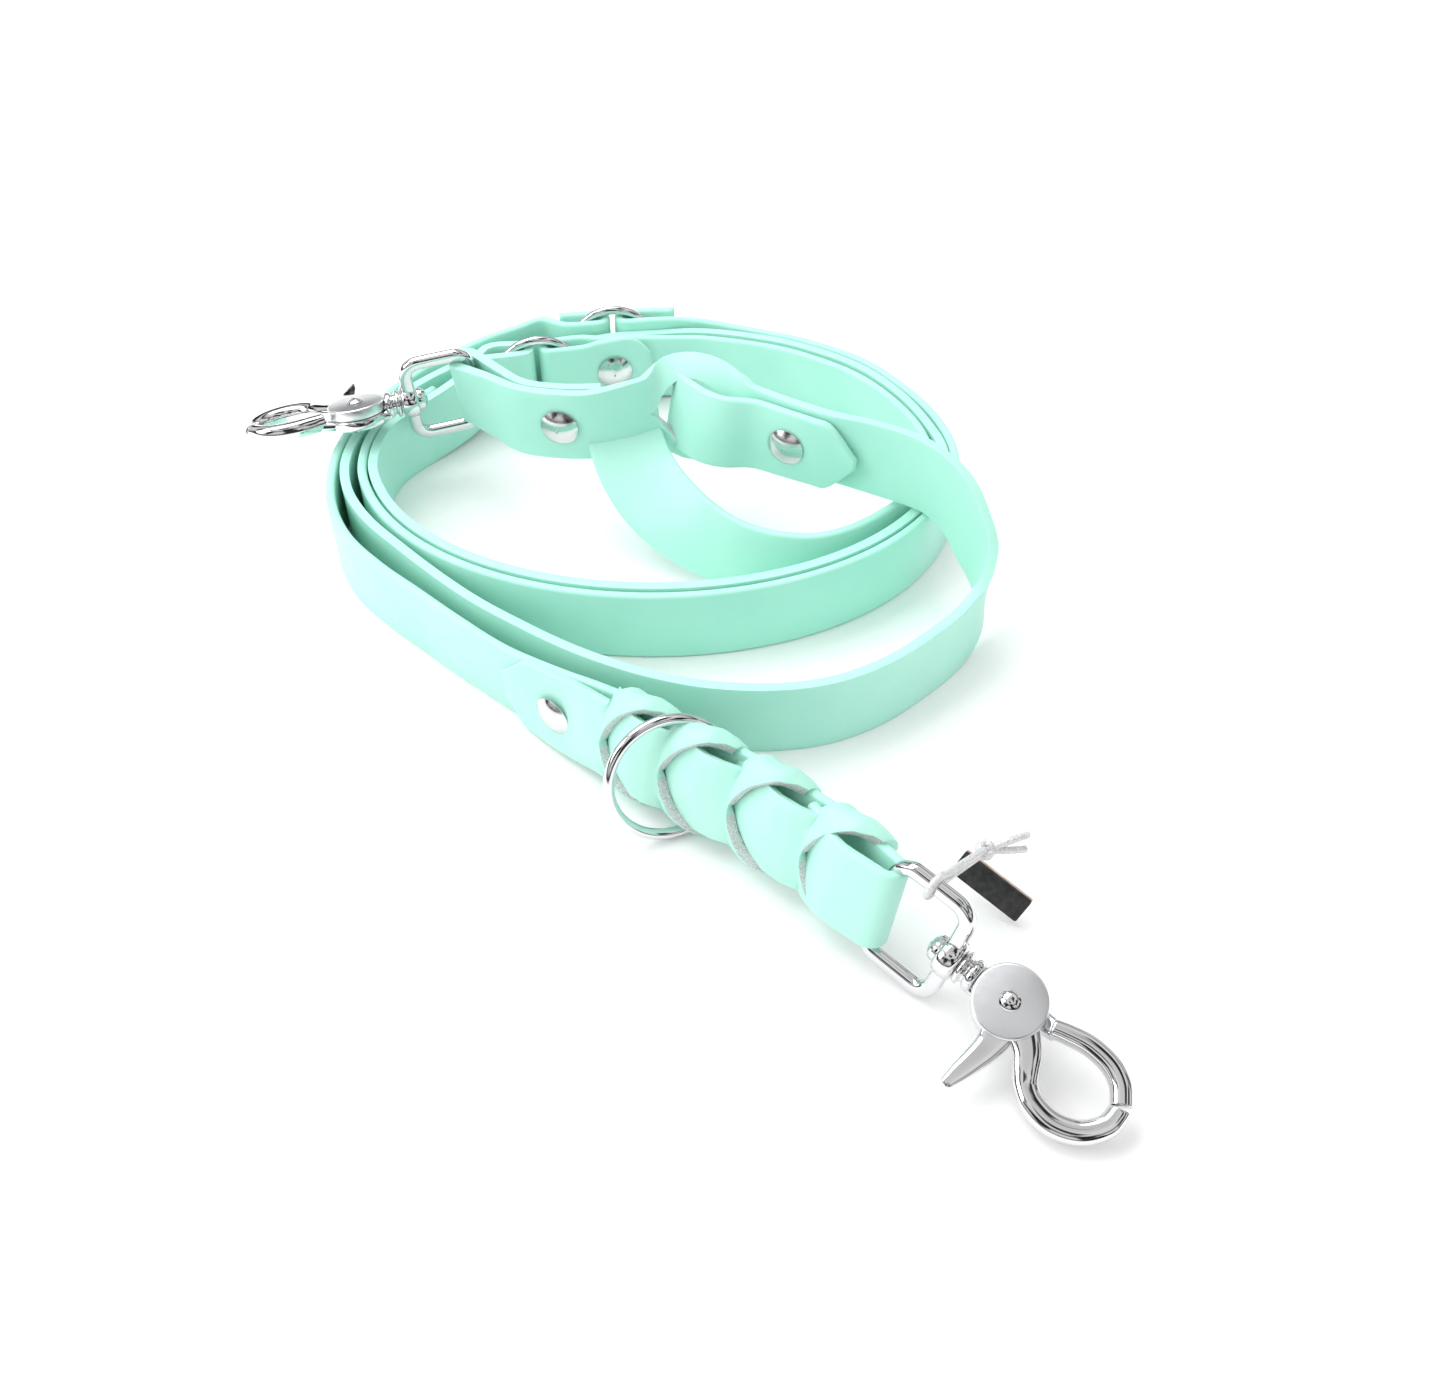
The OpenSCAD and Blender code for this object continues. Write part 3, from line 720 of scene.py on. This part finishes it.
def snap_trigger(end, matrix):
    """Round plate with the thumb tab, and the arm that carries the jaw."""
    z = SPLIT + 0.1
    verts = []
    faces = []
    lathe(verts, faces, rounded_plate(PLATE_R, PLATE_T, 0.6), at=(PIVOT, 0, z))
    plate_faces = len(faces)
    tube(verts, faces, [(32.4, -2.5, z + 1.3, 4.4, 1.3), (33.4, -6.8, z + 1.25, 3.3, 1.25),
                        (33.5, -9.5, z + 1.2, 2.7, 1.2), (33.0, -13, z + 1.3, 2.3, 1.2),
                        (32.3, -16.6, z + 1.5, 1.9, 1.05), (31.7, -19.6, z + 1.75, 1.3, 0.8)],
         square=2.8, cap=0.9)
    tube(verts, faces, [(33.5, -1.2, z + 1.35, 4.6, 1.3), (37, -3.0, z + 1.3, 3.2, 1.3),
                        (39.8, -5.4, z + 1.1, 2.8, 1.4), (41.6, -8.2, z + 0.6, 2.6, 1.8),
                        (43.2, -10.4, HOOK_Z, 2.5, 2.2), (46.2, -12.3, HOOK_Z, 2.55, 2.35),
                        (51, -12.8, HOOK_Z, 2.55, 2.35), (55.8, -10.8, HOOK_Z, 2.45, 2.3),
                        (58.8, -6.8, HOOK_Z, 2.3, 2.2), (59.1, -3.6, HOOK_Z, 2.2, 2.2),
                        (58.95, -2.85, HOOK_Z, 2.2, 2.2)], square=2.4, cap=0.25)
    obj = hardware(end + "_lever", verts, faces, matrix, (SATIN, CHROME), end + "_trigger",
                   "trigger_steel", end + "_trigger")
    for poly in obj.data.polygons[plate_faces:]:
        poly.material_index = 1


def plate_node(node, material):
    """Gives a CAD node its metal, and shades it smooth."""
    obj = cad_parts[node]
    obj.data.materials.clear()
    obj.data.materials.append(material)
    for poly in obj.data.polygons:
        poly.use_smooth = True


CARD_CORNER = (8.1, 2.6)              # middles of the card's rounded corners
CARD_ROUND = 0.4
CARD_BEVEL = 0.06
CARD_BOW = 0.35                       # how far the card's ends stand out


def card_layer(name, material, low, high, raised, *nodes):
    """One layer of the card, slightly bowed, between two heights of its thickness."""
    middle = Vector((76.2, -127.4, 6.2))
    turn = (Matrix.Rotation(math.radians(-35), 4, "Z") @ Matrix.Rotation(math.radians(18), 4, "Y")
            @ Matrix.Rotation(math.radians(-24), 4, "X"))
    rows = []
    for y in (low, low + CARD_BEVEL, high - CARD_BEVEL, high):
        r = CARD_ROUND - (CARD_BEVEL if y in (low, high) else 0.0)
        row = []
        for cx, cz, start in ((1, 1, 0), (-1, 1, 90), (-1, -1, 180), (1, -1, 270)):
            for q in (0, 45, 90):
                a = math.radians(start + q)
                x = cx * CARD_CORNER[0] + r * math.cos(a)
                z = cz * CARD_CORNER[1] + raised + r * math.sin(a)
                row.append(turn @ Vector((x, y + CARD_BOW * (x / 8.5) ** 2, z)) + middle)
        rows.append(row)
    verts = []
    faces = []
    add_grid(verts, faces, rows)
    finish_mesh(name, verts, faces, (material,), "tag", "tag_card", *nodes)


def tag_cord(matrix):
    """Elastic cord: its loop round the snap's strap loop, the knot, two ends and the drop to the card."""
    knot = Vector((72.7, -130.4, 22.0))
    centre = matrix @ Vector((8, 12.5, 0))
    run = (matrix.to_3x3() @ Vector((1, 0, 0))).normalized()
    out = knot - centre
    out = (out - run * out.dot(run)).normalized()
    side = run.cross(out)
    ring_r = 2.6
    loop = [tuple(knot - out * 0.8 + side * 0.5)]
    for q in range(30, 331, 20):
        a = math.radians(q)
        loop.append(tuple(centre + out * ring_r * math.cos(a) + side * ring_r * math.sin(a)))
    loop.append(tuple(knot - out * 0.8 - side * 0.5))
    ends = [[tuple(knot), tuple(knot + Vector((4.5, 1.4, 0.9))), tuple(knot + Vector((9.0, 3.6, 0.5)))],
            [tuple(knot), tuple(knot + Vector((4.2, 0.6, -0.9))), tuple(knot + Vector((8.6, 2.0, -2.2)))],
            [tuple(knot), tuple(knot + Vector((-0.9, 3.0, -5.5))), (71.4, -124.8, 10.8)]]
    verts = []
    faces = []
    for line in [loop] + ends:
        tube(verts, faces, [(*p, 0.8, 0.8) for p in line], n=12, cap=0.4)
    for spin in (0, 60, 120):
        twist = Matrix.Rotation(math.radians(spin), 4, "Z") @ Matrix.Rotation(math.radians(35), 4, "X")
        ring = [knot + twist @ Vector((1.4 * math.cos(q), 1.4 * math.sin(q), 0.4 * math.sin(2 * q)))
                for q in (2 * math.pi * k / 14 for k in range(14))]
        tube(verts, faces, [(*p, 0.75, 0.75) for p in ring], n=12, cap=0.3)
    finish_mesh("tag_cord_tied", verts, faces, (CORD,), "tag", "tag_cord", "tag_cord")


def build_snap(end, bar, turn, loop_roll):
    """A whole swivel snap on its strap bar."""
    strap_bail(end, placed(bar, (*turn[:2], loop_roll)))
    snap_hook(end, placed(bar, turn))
    snap_trigger(end, placed(bar, turn))
    plate_node(end + "_swivel_pin", CHROME)
    plate_node(end + "_pivot_pin", CHROME)
    plate_node(end + "_spring", SATIN)


def build_tag():
    """Blank card with its pale backing, leaning on the floor, and the cord that holds it."""
    card_layer("tag_card_face", CARD, -0.75, 0.2, 0.0, "tag_card")
    card_layer("tag_card_back", BACKING, 0.2, 0.5, 0.35)
    tag_cord(placed(FRONT_BAR, (*FRONT_TURN[:2], FRONT_LOOP_ROLL)))


def plate_rings_and_rivets():
    """Metals for the CAD nodes that show as they are."""
    for name in ("sliding_ring", "inner_ring", "outer_ring"):
        plate_node(name, CHROME)
    for name in ("rivet_caps", "rivet_posts"):
        plate_node(name, RIVET)


# ---- Floor, light and camera -------------------------------------------------------------------
def build_floor():
    """Plain white floor, just under the leash."""
    bpy.ops.mesh.primitive_plane_add(size=8, location=(0, 0, -0.0001))
    floor = bpy.context.object
    floor.name = "floor"
    m, nodes, links, p = shader("white_floor")
    shade = ramp(nodes, links, noise(nodes, links, 3, 2).outputs["Fac"], (0.93,) * 3, (0.95,) * 3)
    links.new(shade.outputs["Color"], p.inputs["Base Color"])
    p.inputs["Specular IOR Level"].default_value = 0.0
    floor.data.materials.append(m)


def build_world():
    """White surroundings, with darker bands that only the metal mirrors."""
    world = bpy.data.worlds.new("studio")
    bpy.context.scene.world = world
    world.use_nodes = True
    nodes = world.node_tree.nodes
    links = world.node_tree.links
    nodes.clear()
    out = nodes.new("ShaderNodeOutputWorld")
    plain = nodes.new("ShaderNodeBackground")
    plain.inputs["Color"].default_value = (1, 1, 1, 1)
    plain.inputs["Strength"].default_value = 0.94
    mirror = nodes.new("ShaderNodeBackground")
    where = nodes.new("ShaderNodeTexCoord")
    split = nodes.new("ShaderNodeSeparateXYZ")
    links.new(where.outputs["Generated"], split.inputs["Vector"])
    bands = nodes.new("ShaderNodeValToRGB")
    stops = [(0.0, 0.7), (0.41, 0.55), (0.47, 0.1), (0.53, 0.03), (0.57, 0.4), (0.66, 0.74), (0.735, 0.7),
             (0.77, 0.08), (0.805, 0.25), (0.85, 0.62), (0.93, 0.78), (1.0, 0.56)]
    bands.color_ramp.elements[0].position = stops[0][0]
    bands.color_ramp.elements[0].color = (*(stops[0][1],) * 3, 1)
    bands.color_ramp.elements[1].position = stops[-1][0]
    bands.color_ramp.elements[1].color = (*(stops[-1][1],) * 3, 1)
    for position, value in stops[1:-1]:
        e = bands.color_ramp.elements.new(position)
        e.color = (value, value, value, 1)
    half = nodes.new("ShaderNodeMath")
    half.operation = "MULTIPLY_ADD"
    half.inputs[1].default_value = 0.5
    half.inputs[2].default_value = 0.5
    links.new(split.outputs["Z"], half.inputs[0])
    links.new(half.outputs[0], bands.inputs["Fac"])
    screens = nodes.new("ShaderNodeTexNoise")
    screens.inputs["Scale"].default_value = 2.6
    screens.inputs["Detail"].default_value = 1.0
    links.new(where.outputs["Generated"], screens.inputs["Vector"])
    shade = ramp(nodes, links, screens.outputs["Fac"], (1.15,) * 3, (0.05,) * 3, 0.53, 0.58)
    product = nodes.new("ShaderNodeVectorMath")
    product.operation = "MULTIPLY"
    links.new(bands.outputs["Color"], product.inputs[0])
    links.new(shade.outputs["Color"], product.inputs[1])
    links.new(product.outputs[0], mirror.inputs["Color"])
    ray = nodes.new("ShaderNodeLightPath")
    mix = nodes.new("ShaderNodeMixShader")
    links.new(ray.outputs["Is Glossy Ray"], mix.inputs[0])
    links.new(plain.outputs[0], mix.inputs[1])
    links.new(mirror.outputs[0], mix.inputs[2])
    links.new(mix.outputs[0], out.inputs["Surface"])


def area_light(name, where, size, power):
    """Soft light that faces the coil."""
    light = bpy.data.lights.new(name, "AREA")
    light.shape = "RECTANGLE"
    light.size, light.size_y = size
    light.energy = power
    obj = bpy.data.objects.new(name, light)
    bpy.context.collection.objects.link(obj)
    obj.location = where
    obj.rotation_euler = (-Vector(where)).to_track_quat("-Z", "Y").to_euler()


def build_camera():
    """Camera in front, looking down at 45 degrees."""
    cam = bpy.data.cameras.new("view")
    cam.sensor_width = 36.0
    cam.sensor_fit = "HORIZONTAL"
    cam.lens = 37.37
    cam.clip_start = 0.01
    obj = bpy.data.objects.new("view", cam)
    bpy.context.collection.objects.link(obj)
    obj.location = (0.020, -0.320, 0.258)
    obj.rotation_euler = (math.radians(45), 0, 0)
    bpy.context.scene.camera = obj


build_braid()
build_coil()
build_loop()
build_handle()
build_snap("front", FRONT_BAR, FRONT_TURN, FRONT_LOOP_ROLL)
build_snap("back", BACK_BAR, BACK_TURN, BACK_LOOP_ROLL)
build_tag()
plate_rings_and_rivets()
build_floor()
build_world()
area_light("overhead", (-0.3, 0.35, 0.9), (0.9, 0.7), 6)
area_light("left_fill", (-0.9, -0.2, 0.6), (0.6, 0.6), 4)
build_camera()
bpy.context.scene.view_settings.view_transform = "Standard"
